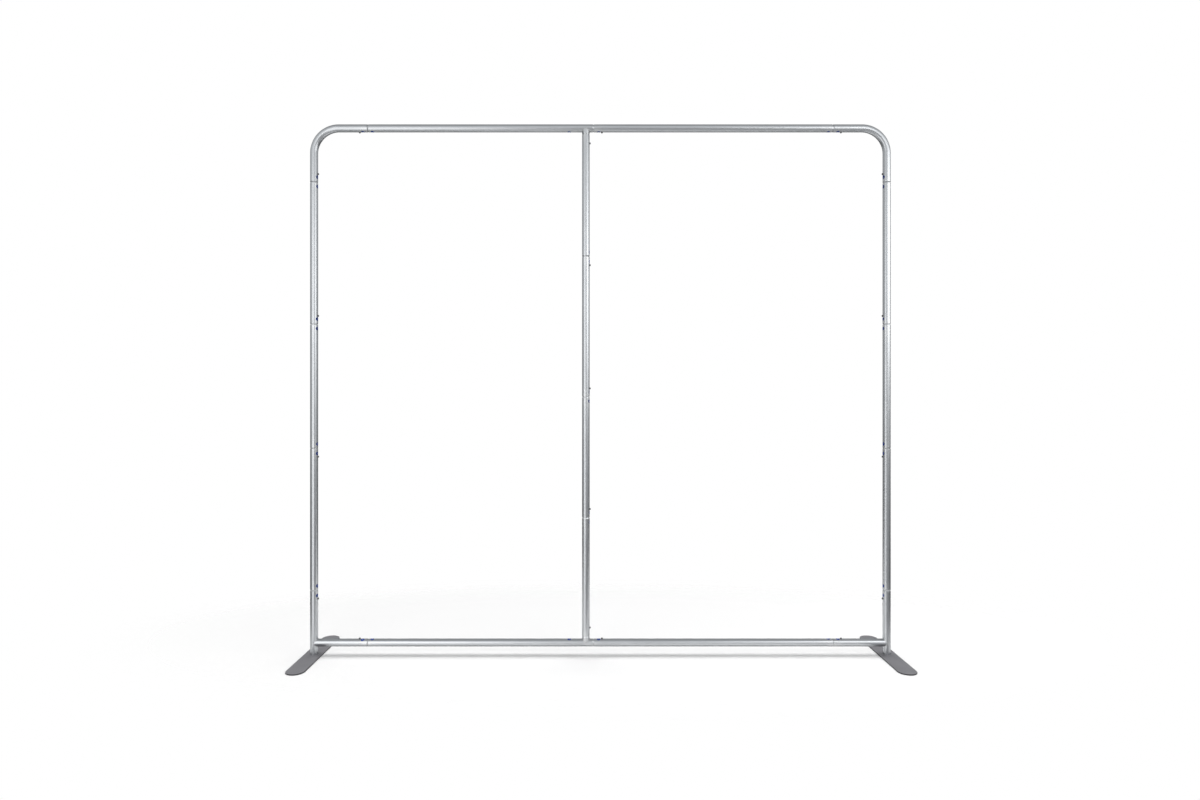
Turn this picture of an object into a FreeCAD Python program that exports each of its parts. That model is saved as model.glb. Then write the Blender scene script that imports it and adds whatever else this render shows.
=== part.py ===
import FreeCAD, Part
import math
import os

os.makedirs("parts", exist_ok=True)
Vector = FreeCAD.Vector

# Outline of the frame in millimetres: across the outside of the posts, and from the floor to the top.
frame_width = 2438.4
frame_height = 2228.0

# Round tube, and the swaged spigots that plug one tube into the next.
tube_diameter = 31.75
tube_wall = 1.5
spigot_length = 70.0
spigot_clearance = 0.2
shoulder_length = 6.0
edge_break = 0.8

# Lengths of the tubes between their joints.
# The middle post tubes and the lowest centre tube take up the rest.
corner_bend_radius = 105.0
corner_leg = 226.0
bottom_rail_height = 51.0
base_post_top = 270.0
lower_post_length = 596.0
upper_post_length = 596.0
centre_post_offset = 61.0
tee_to_rail_joint = 33.5
tee_stub_length = 29.0
centre_top_length = 512.0
centre_second_length = 586.0
centre_third_length = 507.0

# Welded joints: the gap at the coped end, and the size of the bead that closes it.
weld_gap = 0.15
weld_leg = 1.2

# Snap buttons and the leaf springs that carry them.
button_diameter = 7.5
button_height = 4.5
button_edge_radius = 1.8
button_from_joint = 34.0
button_play = 0.3
collar_width = 1.25
collar_thickness = 1.0
leaf_thickness = 0.8
leaf_width = 8.0
leaf_length = 38.0
leaf_bend_radius = 4.0
leaf_gap = 0.05

# Round number labels on both sides of a joint.
label_diameter = 14.5
label_thickness = 0.2
label_from_joint = 20.0
label_from_tee = 70.0

# Foot plates, and the plug and screw that hold each one under its post.
foot_length = 457.2
foot_width = 76.2
foot_thickness = 5.0
foot_edge = 0.6
foot_gap = 0.2
plug_height = 24.0
plug_clearance = 0.05
screw_diameter = 8.0
screw_head_diameter = 15.8
screw_length = 22.0
screw_running_clearance = 0.1
screw_head_clearance = 0.4
socket_width = 5.0
socket_depth = 2.2

# Sizes that follow from those above.
tube_radius = tube_diameter / 2
bore_radius = tube_radius - tube_wall
spigot_radius = bore_radius - spigot_clearance
spigot_bore = spigot_radius - tube_wall
post_x = frame_width / 2 - tube_radius
top_rail_height = frame_height - tube_radius
rail_joint_x = post_x - corner_leg
tee_x = -centre_post_offset
tee_joint_x = tee_x + tee_to_rail_joint
lower_joint_z = base_post_top + lower_post_length
corner_joint_z = top_rail_height - corner_leg
upper_joint_z = corner_joint_z - upper_post_length
top_tee_joint_z = top_rail_height - tee_stub_length
centre_first_joint_z = top_tee_joint_z - centre_top_length
centre_second_joint_z = centre_first_joint_z - centre_second_length
centre_third_joint_z = centre_second_joint_z - centre_third_length
bottom_tee_joint_z = bottom_rail_height + tee_stub_length

right = Vector(1, 0, 0)
left = Vector(-1, 0, 0)
up = Vector(0, 0, 1)
down = Vector(0, 0, -1)
front_to_back = Vector(0, 1, 0)
centre = Vector(0, 0, 0)


def turned(outline, base, direction):
    """Solid turned about the line from base along direction, from half an outline of (radius, height)."""
    points = [Vector(radius, 0, height) for radius, height in outline]
    face = Part.Face(Part.makePolygon(points + points[:1]))
    solid = face.revolve(centre, up, 360)
    solid.Placement = FreeCAD.Placement(base, FreeCAD.Rotation(up, direction))
    return solid


def placed(shape, point, x_direction, z_direction):
    """Copy of a shape drawn at the origin, moved to a point with its X and Z axes along two directions."""
    copy = shape.copy()
    turn = FreeCAD.Rotation(x_direction, z_direction.cross(x_direction), z_direction, "ZXY")
    copy.Placement = FreeCAD.Placement(point, turn)
    return copy


def end_outline(kind):
    """Outer and inner outline of a tube end as (distance from the joint line, radius) points, tip first."""
    if kind == "spigot":
        outer = [
            (-spigot_length, spigot_radius - edge_break),
            (-spigot_length + edge_break, spigot_radius),
            (0, spigot_radius),
            (shoulder_length, tube_radius),
        ]
        inner = [(-spigot_length, spigot_bore), (0, spigot_bore), (shoulder_length, bore_radius)]
    elif kind == "socket":
        outer = [(0, tube_radius - edge_break), (edge_break, tube_radius)]
        inner = [(0, bore_radius)]
    else:
        outer = [(0, tube_radius)]
        inner = [(0, bore_radius)]
    return outer, inner


def straight_tube(start, end, start_kind, end_kind):
    """Round tube between two joint lines, each end a spigot, a socket or a plain cut."""
    length = start.distanceToPoint(end)
    first_outer, first_inner = end_outline(start_kind)
    last_outer, last_inner = end_outline(end_kind)
    outline = [(radius, depth) for depth, radius in first_outer]
    outline += [(radius, length - depth) for depth, radius in reversed(last_outer)]
    outline += [(radius, length - depth) for depth, radius in last_inner]
    outline += [(radius, depth) for depth, radius in reversed(first_inner)]
    return turned(outline, start, end - start)


def corner_tube(corner, inward):
    """Bent tube round a top corner: a leg down to the post, a quarter bend, and a leg inward to the rail."""
    post_tangent = corner + down * corner_bend_radius
    rail_tangent = corner + inward * corner_bend_radius
    bend_centre = post_tangent + inward * corner_bend_radius
    quarter = 90 * inward.x

    def bent_rod(radius):
        disc = Part.Face(Part.Wire(Part.makeCircle(radius, post_tangent, up)))
        return disc.revolve(bend_centre, front_to_back, quarter)

    bend = bent_rod(tube_radius).cut(bent_rod(bore_radius))
    post_leg = straight_tube(corner + down * corner_leg, post_tangent, "socket", "plain")
    rail_leg = straight_tube(corner + inward * corner_leg, rail_tangent, "socket", "plain")
    return bend.fuse([post_leg, rail_leg]).removeSplitter()


def coped(stub, crossing, run_direction):
    """Tube end cut to sit round the side of the tube it is welded to."""
    cutter_radius = tube_radius + weld_gap
    cutter_start = crossing - run_direction * 2 * tube_radius
    cutter = Part.makeCylinder(cutter_radius, 4 * tube_radius, cutter_start, run_direction)
    kept = stub.cut(cutter)
    return max(kept.Solids, key=lambda solid: solid.Volume)


# The tubes, from the floor up.
tubes = {}
floor_gap = foot_thickness + foot_gap
for side, inward in (("left", right), ("right", left)):
    x = -post_x * inward.x
    post = Vector(x, 0, 0)
    base_crossing = post + up * bottom_rail_height
    base_end = Vector(-rail_joint_x * inward.x, 0, bottom_rail_height)
    tubes[side + "_base_post"] = straight_tube(
        post + up * floor_gap, post + up * base_post_top, "plain", "socket"
    )
    base_stub = straight_tube(base_crossing, base_end, "plain", "socket")
    tubes[side + "_base_stub"] = coped(base_stub, base_crossing, up)
    tubes[side + "_post_lower"] = straight_tube(
        post + up * base_post_top, post + up * lower_joint_z, "spigot", "socket"
    )
    tubes[side + "_post_middle"] = straight_tube(
        post + up * lower_joint_z, post + up * upper_joint_z, "spigot", "spigot"
    )
    tubes[side + "_post_upper"] = straight_tube(
        post + up * upper_joint_z, post + up * corner_joint_z, "socket", "spigot"
    )
    tubes[side + "_corner"] = corner_tube(post + up * top_rail_height, inward)

for level, height, stub_direction in (("bottom", bottom_rail_height, up), ("top", top_rail_height, down)):
    rail = Vector(0, 0, height)
    tee = rail + right * tee_x
    tee_joint = rail + right * tee_joint_x
    tubes[level + "_rail_left"] = straight_tube(rail + left * rail_joint_x, tee_joint, "spigot", "spigot")
    tubes[level + "_rail_right"] = straight_tube(tee_joint, rail + right * rail_joint_x, "socket", "spigot")
    tee_stub = straight_tube(tee, tee + stub_direction * tee_stub_length, "plain", "spigot")
    tubes[level + "_tee_stub"] = coped(tee_stub, tee, right)

centre_line = right * tee_x
tubes["centre_post_1"] = straight_tube(
    centre_line + up * centre_first_joint_z, centre_line + up * top_tee_joint_z, "spigot", "socket"
)
tubes["centre_post_2"] = straight_tube(
    centre_line + up * centre_second_joint_z, centre_line + up * centre_first_joint_z, "socket", "socket"
)
tubes["centre_post_3"] = straight_tube(
    centre_line + up * centre_third_joint_z, centre_line + up * centre_second_joint_z, "socket", "spigot"
)
tubes["centre_post_4"] = straight_tube(
    centre_line + up * bottom_tee_joint_z, centre_line + up * centre_third_joint_z, "socket", "spigot"
)


class Joint:
    """A plug-in joint: its button's name, its tubes and its point, the spigot's way and the button's side.

    Its two labels, the socket's first, are turned by some degrees from the button's side towards the front.
    """

    def __init__(self, button, spigot_tube, socket_tube, point, into, facing, label_turns):
        self.button = button
        self.spigot_tube = spigot_tube
        self.socket_tube = socket_tube
        self.point = point
        self.into = into
        self.facing = facing
        self.label_turns = label_turns
        self.button_point = point + into * button_from_joint


joints = []
left_label_turns = ((15, 15), (17, 12), (18, 20), (13, 13))
right_label_turns = ((5, 5), (6, 12), (3, 6), (14, 8))
for side, inward, label_turns in (("left", right, left_label_turns), ("right", left, right_label_turns)):
    post = left * post_x * inward.x
    post_heights = (base_post_top, lower_joint_z, upper_joint_z, corner_joint_z)
    post_spigots = ("_post_lower", "_post_middle", "_post_middle", "_post_upper")
    post_sockets = ("_base_post", "_post_lower", "_post_upper", "_corner")
    post_ways = (down, down, up, up)
    for number, height in enumerate(post_heights):
        joints.append(
            Joint(
                side + "_button_" + str(number + 1),
                side + post_spigots[number],
                side + post_sockets[number],
                post + up * height,
                post_ways[number],
                inward,
                label_turns[number],
            )
        )

centre_heights = (
    bottom_tee_joint_z,
    centre_third_joint_z,
    centre_second_joint_z,
    centre_first_joint_z,
    top_tee_joint_z,
)
centre_spigots = ("bottom_tee_stub", "centre_post_4", "centre_post_3", "centre_post_1", "top_tee_stub")
centre_sockets = ("centre_post_4", "centre_post_3", "centre_post_2", "centre_post_2", "centre_post_1")
centre_ways = (up, up, up, down, down)
centre_label_turns = ((0, 0), (8, 10), (4, 22), (13, 13), (0, 0))
for number, height in enumerate(centre_heights):
    joints.append(
        Joint(
            "centre_button_" + str(number + 1),
            centre_spigots[number],
            centre_sockets[number],
            centre_line + up * height,
            centre_ways[number],
            right,
            centre_label_turns[number],
        )
    )

for level, height, facing, end_socket, turns in (
    ("bottom", bottom_rail_height, up, "_base_stub", ((26, 14), (12, 12), (7, 0))),
    ("top", top_rail_height, down, "_corner", ((6, 6), (0, 0), (6, 1))),
):
    rail = up * height
    rail_left = level + "_rail_left"
    rail_right = level + "_rail_right"
    button = level + "_button_"
    left_end = rail + left * rail_joint_x
    right_end = rail + right * rail_joint_x
    tee_end = rail + right * tee_joint_x
    joints.append(Joint(button + "1", rail_left, "left" + end_socket, left_end, left, facing, turns[0]))
    joints.append(Joint(button + "2", rail_left, rail_right, tee_end, right, facing, turns[1]))
    joints.append(Joint(button + "3", rail_right, "right" + end_socket, right_end, right, facing, turns[2]))

# Each button stands in a hole through the socket tube and the spigot inside it.
button_radius = button_diameter / 2
for joint in joints:
    hole = Part.makeCylinder(button_radius + button_play, 2 * tube_radius, joint.button_point, joint.facing)
    tubes[joint.spigot_tube] = tubes[joint.spigot_tube].cut(hole)
    tubes[joint.socket_tube] = tubes[joint.socket_tube].cut(hole)

for name, solid in tubes.items():
    solid.exportStep("parts/" + name + ".step")

# A snap button: a round pin with a rounded head, and a collar that stops it against the spigot's inside.
collar_radius = button_radius + collar_width
collar_top = math.sqrt(spigot_bore ** 2 - collar_radius ** 2) - button_play
collar_bottom = collar_top - collar_thickness
button_top = tube_radius + button_height
button_shoulder = button_top - button_edge_radius
head_flat = button_radius - button_edge_radius
edge_middle = button_edge_radius * math.sqrt(0.5)
corner_points = [
    Vector(head_flat, 0, button_top),
    Vector(0, 0, button_top),
    Vector(0, 0, collar_bottom),
    Vector(collar_radius, 0, collar_bottom),
    Vector(collar_radius, 0, collar_top),
    Vector(button_radius, 0, collar_top),
    Vector(button_radius, 0, button_shoulder),
]
rounded_edge = Part.Arc(
    corner_points[-1], Vector(head_flat + edge_middle, 0, button_shoulder + edge_middle), corner_points[0]
)
button_outline = Part.Wire(Part.makePolygon(corner_points).Edges + [rounded_edge.toShape()])
snap_button = Part.Face(button_outline).revolve(centre, up, 360)
for joint in joints:
    pin = placed(snap_button, joint.button_point, joint.into, joint.facing)
    pin.exportStep("parts/" + joint.button + ".step")

# A leaf spring bent to a V inside the spigot: one leg under the button, one on the far side of the bore.
leaf_top = collar_bottom - leaf_gap
leaf_bottom = -math.sqrt(spigot_bore ** 2 - (leaf_width / 2) ** 2) + leaf_gap
leaf_tip = collar_radius
bend_x = leaf_bend_radius - leaf_length


def leaf_point(x, z):
    """Point on the near edge of the leaf, with the button's axis at x = 0 and the tube's axis at z = 0."""
    return Vector(x, -leaf_width / 2, z)


def leg_tangent(x, z, radius, way):
    """Point where a straight leg from (x, z) meets the round bend, above (way 1) or below (way -1)."""
    distance = math.hypot(x - bend_x, z)
    angle = math.atan2(z, x - bend_x) + way * math.acos(radius / distance)
    return leaf_point(bend_x + radius * math.cos(angle), radius * math.sin(angle))


inner_bend = leaf_bend_radius - leaf_thickness
upper_outside = leg_tangent(-leaf_tip, leaf_top, leaf_bend_radius, 1)
lower_outside = leg_tangent(leaf_tip, leaf_bottom, leaf_bend_radius, -1)
upper_inside = leg_tangent(-leaf_tip, leaf_top - leaf_thickness, inner_bend, 1)
lower_inside = leg_tangent(leaf_tip, leaf_bottom + leaf_thickness, inner_bend, -1)
upper_leg = Part.makePolygon(
    [
        upper_inside,
        leaf_point(-leaf_tip, leaf_top - leaf_thickness),
        leaf_point(leaf_tip, leaf_top - leaf_thickness),
        leaf_point(leaf_tip, leaf_top),
        leaf_point(-leaf_tip, leaf_top),
        upper_outside,
    ]
)
lower_leg = Part.makePolygon(
    [
        lower_outside,
        leaf_point(leaf_tip, leaf_bottom),
        leaf_point(leaf_tip, leaf_bottom + leaf_thickness),
        lower_inside,
    ]
)
outer_arc = Part.Arc(upper_outside, leaf_point(bend_x - leaf_bend_radius, 0), lower_outside).toShape()
inner_arc = Part.Arc(lower_inside, leaf_point(bend_x - inner_bend, 0), upper_inside).toShape()
leaf_outline = Part.Wire(upper_leg.Edges + [outer_arc] + lower_leg.Edges + [inner_arc])
leaf_spring = Part.Face(leaf_outline).extrude(front_to_back * leaf_width)
springs = [placed(leaf_spring, joint.button_point, joint.into, joint.facing) for joint in joints]
Part.makeCompound(springs).exportStep("parts/spring_clips.step")

# Number labels: thin round stickers bent round the tube, one on each side of a joint, stuck on by hand.
# The joints at the tee stubs carry none, and beside a tee the label moves clear of the weld.
sleeve = Part.makeCylinder(tube_radius + label_thickness, label_diameter, left * (label_diameter / 2), right)
core = Part.makeCylinder(tube_radius, label_diameter, left * (label_diameter / 2), right)
punch = Part.makeCylinder(label_diameter / 2, 2 * tube_radius, centre, up)
label = sleeve.cut(core).common(punch)
labels = []
for joint in joints:
    if joint.spigot_tube.endswith("tee_stub"):
        continue
    beside_tee = joint.socket_tube.endswith("rail_right")
    back = tee_to_rail_joint + label_from_tee if beside_tee else label_from_joint
    for distance, turn in zip((label_from_joint, -back), joint.label_turns):
        angle = math.radians(turn)
        side = joint.facing * math.cos(angle) - front_to_back * math.sin(angle)
        labels.append(placed(label, joint.point + joint.into * distance, joint.into, side))
Part.makeCompound(labels).exportStep("parts/number_labels.step")

# Weld beads: the fillet between two crossing tubes of one size, on the side of the coped stub.
bead_radius = tube_radius + weld_leg
run_bead = Part.makeCylinder(bead_radius, 4 * tube_radius, left * (2 * tube_radius), right)
run_tube = Part.makeCylinder(tube_radius, 4 * tube_radius, left * (2 * tube_radius), right)
stub_bead = Part.makeCylinder(bead_radius, 2 * tube_radius, centre, up)
stub_tube = Part.makeCylinder(tube_radius, 2 * tube_radius, centre, up)
bead = run_bead.common(stub_bead).cut(run_tube).cut(stub_tube)
beads = [
    placed(bead, left * post_x + up * bottom_rail_height, up, right),
    placed(bead, right * post_x + up * bottom_rail_height, up, left),
    placed(bead, centre_line + up * bottom_rail_height, right, up),
    placed(bead, centre_line + up * top_rail_height, right, down),
]
Part.makeCompound(beads).exportStep("parts/weld_beads.step")

# Foot plates: flat bar with round ends, countersunk from below for one screw that it turns on.
end_radius = foot_width / 2
end_centre = foot_length / 2 - end_radius
screw_radius = screw_diameter / 2
head_radius = screw_head_diameter / 2
pivot_radius = screw_radius + screw_running_clearance
sink_radius = head_radius + 2 * screw_head_clearance
sink_depth = sink_radius - pivot_radius
bar = Part.makeBox(foot_width, 2 * end_centre, foot_thickness, Vector(-end_radius, -end_centre, 0))
ends = [
    Part.makeCylinder(end_radius, foot_thickness, front_to_back * end_centre),
    Part.makeCylinder(end_radius, foot_thickness, front_to_back * -end_centre),
]
plate = bar.fuse(ends).removeSplitter()
rim = [edge for edge in plate.Edges if edge.BoundBox.ZLength < foot_edge]
plate = plate.makeChamfer(foot_edge, rim)
sink = turned([(0, 0), (sink_radius, 0), (pivot_radius, sink_depth), (0, sink_depth)], centre, up)
pivot_hole = Part.makeCylinder(pivot_radius, foot_thickness)
plate = plate.cut(sink).cut(pivot_hole)

# The plug fills the bottom of the base post, and the screw runs up into it with its head inside the plate.
head_height = head_radius - screw_radius
plug = turned(
    [
        (screw_radius + plug_clearance, floor_gap),
        (bore_radius - plug_clearance, floor_gap),
        (bore_radius - plug_clearance, floor_gap + plug_height),
        (screw_radius + plug_clearance, floor_gap + plug_height),
    ],
    centre,
    up,
)
screw = turned(
    [
        (0, screw_head_clearance),
        (head_radius, screw_head_clearance),
        (screw_radius, screw_head_clearance + head_height),
        (screw_radius, screw_head_clearance + screw_length),
        (0, screw_head_clearance + screw_length),
    ],
    centre,
    up,
)
socket_radius = socket_width / math.sqrt(3)
corner_angles = [math.radians(60 * corner) for corner in range(6)]
hexagon = [
    Vector(socket_radius * math.cos(angle), socket_radius * math.sin(angle), 0) for angle in corner_angles
]
hexagon_face = Part.Face(Part.makePolygon(hexagon + hexagon[:1]))
screw = screw.cut(hexagon_face.extrude(up * (screw_head_clearance + socket_depth)))

for side, x in (("left", -post_x), ("right", post_x)):
    placed(plate, right * x, right, up).exportStep("parts/" + side + "_foot_plate.step")
plugs = [placed(plug, right * x, right, up) for x in (-post_x, post_x)]
Part.makeCompound(plugs).exportStep("parts/post_plugs.step")
screws = [placed(screw, right * x, right, up) for x in (-post_x, post_x)]
Part.makeCompound(screws).exportStep("parts/foot_screws.step")
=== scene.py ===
import itertools

import bmesh
import bpy
import numpy as np
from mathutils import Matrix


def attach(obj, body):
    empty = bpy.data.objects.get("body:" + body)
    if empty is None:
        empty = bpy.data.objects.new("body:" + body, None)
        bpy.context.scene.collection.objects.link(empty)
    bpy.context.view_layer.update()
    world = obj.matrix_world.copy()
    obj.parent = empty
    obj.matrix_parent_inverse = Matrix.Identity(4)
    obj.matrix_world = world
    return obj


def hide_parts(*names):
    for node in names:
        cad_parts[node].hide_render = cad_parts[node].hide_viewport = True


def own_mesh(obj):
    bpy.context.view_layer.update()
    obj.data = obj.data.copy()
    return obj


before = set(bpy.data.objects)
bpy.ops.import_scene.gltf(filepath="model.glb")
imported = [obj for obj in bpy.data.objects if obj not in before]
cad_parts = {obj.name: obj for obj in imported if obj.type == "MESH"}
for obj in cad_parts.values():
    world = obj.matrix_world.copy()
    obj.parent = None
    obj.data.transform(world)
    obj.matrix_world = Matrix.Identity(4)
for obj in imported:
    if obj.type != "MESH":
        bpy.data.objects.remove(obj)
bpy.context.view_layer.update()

# Foot plates: two flat bars of mild steel with round ends, cut out, edges broken, and grey powder coated.
# Each lies flat on the floor under a post and turns on one screw, countersunk into it from below.
foot_length = 0.4572
foot_width = 0.0762
foot_thickness = 0.005
foot_edge_radius = 0.0009
pivot_hole_radius = 0.0041
pivot_hole_edge = 0.0001
sink_mouth_radius = 0.0087
sink_depth = 0.0046
post_x = 1.203325


def grid_quads(rows, columns, loop_rows, loop_columns):
    """Corner numbers of each cell of a grid counted row by row; a loop joins its last line to its first."""
    row = np.arange(rows if loop_rows else rows - 1)[:, None]
    column = np.arange(columns if loop_columns else columns - 1)[None, :]
    next_row = (row + 1) % rows
    next_column = (column + 1) % columns
    corners = [
        row * columns + column,
        row * columns + next_column,
        next_row * columns + next_column,
        next_row * columns + column,
    ]
    return np.stack(np.broadcast_arrays(*corners), -1).reshape(-1, 4)


def add_piece(name, points, faces, finish, body, nodes, slot, **marks):
    """Mesh object from points and faces, its marks as attributes; it rides on a body in place of nodes."""
    crease_angle = np.radians(38)
    mesh = bpy.data.meshes.new(name)
    mesh.from_pydata(np.asarray(points).tolist(), [], [list(face) for face in faces])
    mesh.polygons.foreach_set("use_smooth", np.ones(len(mesh.polygons), bool))
    mesh.set_sharp_from_angle(angle=crease_angle)
    for label, values in marks.items():
        kind = "FLOAT_VECTOR" if np.ndim(values) == 2 else "FLOAT"
        field = "vector" if np.ndim(values) == 2 else "value"
        attribute = mesh.attributes.new(label, kind, "POINT")
        attribute.data.foreach_set(field, np.asarray(values, np.float32).ravel())
    mesh.materials.append(finish)
    mesh.update()
    piece = bpy.data.objects.new(name, mesh)
    bpy.context.scene.collection.objects.link(piece)
    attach(piece, body)
    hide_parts(*nodes)
    return piece


def node_maker(tree):
    """Function that adds a node of a kind to a tree, or takes the one of that name, and fills its inputs.

    An input takes a value, or a link where it is given another node's socket.
    """

    def node(kind, settings=None, numbered=(), **named):
        made = tree.nodes.get(kind) or tree.nodes.new(kind)
        for setting, value in (settings or {}).items():
            setattr(made, setting, value)
        entries = [made.inputs[label.replace("_", " ")] for label in named]
        for entry, value in [*zip(made.inputs, numbered), *zip(entries, named.values())]:
            if isinstance(value, bpy.types.NodeSocket):
                tree.links.new(value, entry)
            else:
                entry.default_value = value
        return made

    return node


def start_finish(name):
    """New finish and the maker of its nodes."""
    finish = bpy.data.materials.new(name)
    finish.use_nodes = True
    return finish, node_maker(finish.node_tree)


def ramp(node, value, stops):
    """Colour that follows a value through (place, grey or colour) stops."""
    made = node("ShaderNodeValToRGB", Fac=value)
    elements = made.color_ramp.elements
    for number, (place, colour) in enumerate(stops):
        element = elements[number] if number < 2 else elements.new(place)
        element.position = place
        element.color = (colour, colour, colour, 1) if np.ndim(colour) == 0 else (*colour, 1)
    return made.outputs["Color"]


def noise(node, scale, detail, roughness=0.5, place=None):
    """Noise value at a place, or at the object's own point where none is given."""
    if place is None:
        place = node("ShaderNodeTexCoord").outputs["Object"]
    values = {"Scale": scale, "Detail": detail, "Roughness": roughness}
    return node("ShaderNodeTexNoise", Vector=place, **values).outputs["Fac"]


def mark(node, name):
    """Value of a mark that the mesh carries."""
    return node("ShaderNodeAttribute", {"attribute_name": name}).outputs["Fac"]


def product(node, first, second):
    """Product of two values."""
    return node("ShaderNodeMath", {"operation": "MULTIPLY"}, (first, second)).outputs[0]


def blend(node, first, second, share, kind="MIX"):
    """Colour a share of the way from the first to the second, or to their product."""
    settings = {"data_type": "RGBA", "blend_type": kind}
    return node("ShaderNodeMix", settings, Factor=share, A=first, B=second).outputs["Result"]


def relief(node, height, strength, distance, **under):
    """Fine relief from a height value."""
    values = {"Height": height, "Strength": strength, "Distance": distance}
    return node("ShaderNodeBump", **values, **under).outputs["Normal"]


powder_coat, node = start_finish("grey_powder_coat")
clouds = noise(node, scale=16.0, detail=4.0, roughness=0.6)
tone = ramp(node, clouds, [(0.3, (0.165, 0.162, 0.175)), (0.7, (0.21, 0.207, 0.221))])
fleck = ramp(node, noise(node, scale=2600.0, detail=1.0), [(0.3, 0.82), (0.62, 1.0)])
flecked = blend(node, tone, fleck, 1.0, "MULTIPLY")
# Painted shade: the rings round the plate's edge are darkened to near-black, standing in for the shaded
# sides and dark outline of the plate.
painted_edge_shade_share = product(node, mark(node, "rim"), ramp(node, clouds, [(0.3, 0.75), (0.72, 1.0)]))
coat_colour = blend(node, flecked, (0.03, 0.03, 0.033, 1), painted_edge_shade_share)
coat_gloss = ramp(node, clouds, [(0.3, 0.4), (0.7, 0.52)])
peel = relief(node, noise(node, scale=620.0, detail=3.0, roughness=0.55), strength=0.35, distance=0.00012)
node("Principled BSDF", Base_Color=coat_colour, Roughness=coat_gloss, Normal=peel)


def foot_plate():
    """Rings carried from the screw hole over the top, round the edge, underneath and up the countersink.

    A ring is a stadium outline drawn in by an inset, blended by a share to a circle at the same bearings.
    """
    end_points = 33
    side_points = 40
    face_rings = 12
    edge_rings = 7
    end_turns = np.linspace(0, np.pi, end_points)
    end_shift = foot_length / 2 - foot_width / 2
    side = np.linspace(-end_shift, end_shift, side_points + 2)[1:-1]
    straight = np.zeros(side_points)
    bearing = np.concatenate([end_turns, straight + np.pi, end_turns + np.pi, straight])
    far_end = np.full(end_points, end_shift)
    shift = np.concatenate([far_end, side[::-1], -far_end, side])
    edge = np.linspace(0, np.pi / 2, edge_rings)
    face_shares = np.linspace(0, 1, face_rings) ** 0.6
    face_inset = np.full(face_rings, foot_edge_radius)
    falling = foot_edge_radius * (1 - np.sin(edge))
    growing = foot_edge_radius * (1 - np.cos(edge))
    inset = np.concatenate([face_inset, falling, growing, face_inset, [0, 0]])
    top = [np.full(face_rings, foot_thickness), foot_thickness - growing]
    hole = [sink_depth, foot_thickness - pivot_hole_edge]
    height = np.concatenate([*top, falling, np.zeros(face_rings), hole])
    share = np.concatenate([face_shares, np.ones(2 * edge_rings), face_shares[::-1], [0, 0]])
    upper_circles = np.full(face_rings + 2 * edge_rings, pivot_hole_radius)
    mouth_circles = np.full(face_rings, sink_mouth_radius)
    circle = np.concatenate([upper_circles, mouth_circles, [pivot_hole_radius] * 2])
    half_width = foot_width / 2 - inset[:, None]
    outline_x = half_width * np.cos(bearing)
    outline_y = half_width * np.sin(bearing) + shift
    seen_at = np.arctan2(outline_y, outline_x)
    x = share[:, None] * outline_x + (1 - share[:, None]) * circle[:, None] * np.cos(seen_at)
    y = share[:, None] * outline_y + (1 - share[:, None]) * circle[:, None] * np.sin(seen_at)
    z = np.broadcast_to(height[:, None], x.shape)
    # Mark of the edge rings, where the coat is painted dark as shade.
    rim = np.where((share == 1) & (inset < foot_edge_radius * 0.999), 1.0, 0.0)
    marks = np.broadcast_to(rim[:, None], x.shape)
    return np.stack([x, y, z], -1).reshape(-1, 3), grid_quads(*x.shape, True, True)[:, ::-1], marks.ravel()


for side, x in (("left", -post_x), ("right", post_x)):
    points, faces, rim = foot_plate()
    name = side + "_foot"
    add_piece(name, points + [x, 0, 0], faces, powder_coat, name, [name + "_plate"], "foot_paint", rim=rim)

# Foot screws: zinc-plated countersunk screws with a hexagon socket, one up through each plate.
# The head lies just inside the plate's underside and the shank runs into the plug in the post.
screw_radius = 0.004
screw_head_radius = 0.0079
screw_head_low = 0.0004
screw_top = 0.0224
screw_head_edge = 0.00015
screw_neck_flare = 0.0004
screw_point = 0.001
socket_across_flats = 0.005
socket_depth = 0.0022
socket_edge = 0.0002
socket_floor_cone = 0.0006
thread_pitch = 0.00125
thread_depth = 0.0004
turned_columns = 72


def turned_points(radii, heights, columns):
    """Points of a turned shape: each (radius, height) of the outline swept once round the upright axis."""
    turn = np.linspace(0, 2 * np.pi, columns, endpoint=False)
    radii = np.broadcast_to(np.asarray(radii, float).reshape(len(heights), -1), (len(heights), columns))
    x = radii * np.cos(turn)
    y = radii * np.sin(turn)
    z = np.broadcast_to(np.asarray(heights, float).reshape(len(heights), -1), x.shape)
    return np.stack([x, y, z], -1)


def close_ends(rings):
    """Points and faces of a stack of rings, its first and last each closed by a fan round one point."""
    rows, columns = rings.shape[:2]
    low = rows * columns
    column = np.arange(columns)
    following = (column + 1) % columns
    fan_low = np.stack([np.full(columns, low), following, column], -1)
    top = (rows - 1) * columns
    fan_high = np.stack([np.full(columns, low + 1), top + column, top + following], -1)
    points = np.concatenate([rings.reshape(-1, 3), [rings[0].mean(0)], [rings[-1].mean(0)]])
    return points, [*grid_quads(rows, columns, False, True).tolist(), *fan_low.tolist(), *fan_high.tolist()]


def mottle(node, spots, tones, glosses, metallic):
    """Colour and gloss that drift with one noise, each between its two values; gives the colour."""
    colour, gloss = [ramp(node, spots, [(0.3, low), (0.7, high)]) for low, high in (tones, glosses)]
    node("Principled BSDF", Base_Color=colour, Roughness=gloss, Metallic=metallic)
    return colour


zinc_plate, node = start_finish("zinc_plate")
bloom = noise(node, scale=240.0, detail=5.0, roughness=0.65)
mottle(node, bloom, [(0.46, 0.47, 0.49), (0.62, 0.62, 0.61)], [0.26, 0.44], metallic=1.0)


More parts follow.
